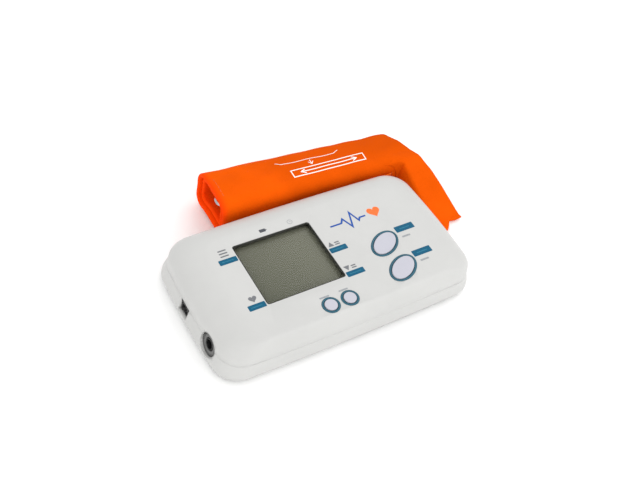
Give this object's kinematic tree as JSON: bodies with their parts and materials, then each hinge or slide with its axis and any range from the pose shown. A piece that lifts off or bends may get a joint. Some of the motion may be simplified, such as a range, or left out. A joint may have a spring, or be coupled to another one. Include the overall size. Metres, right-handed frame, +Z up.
{
  "type": "upper arm blood pressure monitor",
  "caption": "Pillow-shaped blood pressure monitor with display, oval and round push buttons, end sockets, sliding battery door and a rolled fabric arm cuff.",
  "frame": {"origin": "centre of the set's footprint, on the surface it stands on", "axes": "+X along the monitor's long side, away from its sockets; +Y from the monitor to the cuff behind it; +Z up"},
  "size_m": [0.1941, 0.1313, 0.0312],
  "materials": {
    "housing": "satin moulded",
    "button_cap": "satin moulded",
    "teal_ring": "satin moulded",
    "liner": "matte",
    "lens": "clear",
    "lcd": "grey green display cell",
    "white_frame": "matte",
    "board": "solder mask",
    "chip": "matte",
    "soft_dark": "matte",
    "soft_grey": "matte",
    "socket_grey": "matte",
    "socket_black": "matte",
    "steel": "bright",
    "plated": "plated",
    "cell": "plain sleeve over a metal can",
    "copper_coil": "wound coil under tape",
    "pump_plastic": "matte",
    "orange_fabric": "woven nylon",
    "lining_fabric": "brushed nylon",
    "bladder": "matte",
    "loop_fabric": "loop pile",
    "hook_fabric": "hook tape"
  },
  "bodies": {
    "monitor": {"upper_housing": "housing", "lower_housing": "housing", "window_liner": "liner", "display_lens": "lens", "lcd_panel": "lcd", "lcd_frame": "white_frame", "zebra_strips": "soft_dark", "main_board": "board", "board_chips": "chip", "tact_switches": "chip", "board_screws": "steel", "pressure_sensor": "white_frame", "buzzer": "chip", "start_button_ring": "teal_ring", "memory_button_ring": "teal_ring", "hour_button_ring": "teal_ring", "minute_button_ring": "teal_ring", "air_socket_ring": "socket_grey", "air_socket_core": "socket_black", "power_socket": "socket_black", "power_socket_pin": "plated", "aa_cells": "cell", "battery_contacts": "plated", "battery_springs": "plated", "housing_screws": "steel", "rubber_feet": "soft_grey", "pump_motor": "steel", "pump_sleeve": "soft_dark", "pump_head": "pump_plastic", "air_manifold": "white_frame", "release_valve": "pump_plastic", "valve_coil": "copper_coil", "pump_tube": "soft_grey", "socket_tube": "soft_grey", "valve_tube": "soft_grey", "sensor_tube": "soft_grey"},
    "start_stop_button": {"start_stop_button": "button_cap"},
    "memory_button": {"memory_button": "button_cap"},
    "hour_button": {"hour_button": "button_cap"},
    "minute_button": {"minute_button": "button_cap"},
    "battery_door": {"battery_door": "housing"},
    "cuff": {"cuff_cover": "orange_fabric", "cuff_bladder": "bladder", "cuff_lining": "lining_fabric", "cuff_inner_wrap": "orange_fabric", "cuff_loop_strip": "loop_fabric", "cuff_hook_strip": "hook_fabric", "cuff_tail": "orange_fabric", "cuff_tail_fold": "orange_fabric", "cuff_d_ring": "steel", "cuff_port": "pump_plastic"}
  },
  "joints": [
    {"name": "start_stop_press", "type": "slide", "parent": "monitor", "child": "start_stop_button", "axis": [0, 0, -1], "range_m": [0, 0.0008], "stiffness_N_per_m": 800, "springref_m": -0.0004},
    {"name": "memory_press", "type": "slide", "parent": "monitor", "child": "memory_button", "axis": [0, 0, -1], "range_m": [0, 0.0008], "stiffness_N_per_m": 800, "springref_m": -0.0004},
    {"name": "hour_press", "type": "slide", "parent": "monitor", "child": "hour_button", "axis": [0, 0, -1], "range_m": [0, 0.0008], "stiffness_N_per_m": 800, "springref_m": -0.0004},
    {"name": "minute_press", "type": "slide", "parent": "monitor", "child": "minute_button", "axis": [0, 0, -1], "range_m": [0, 0.0008], "stiffness_N_per_m": 800, "springref_m": -0.0004},
    {"name": "battery_door_slide", "type": "slide", "parent": "monitor", "child": "battery_door", "axis": [0, -1, 0], "range_m": [0, 0.079]},
    {"name": "cuff_lift", "type": "slide", "parent": "monitor", "child": "cuff", "axis": [0, 0, 1], "range_m": [0, 0.15]}
  ]
}
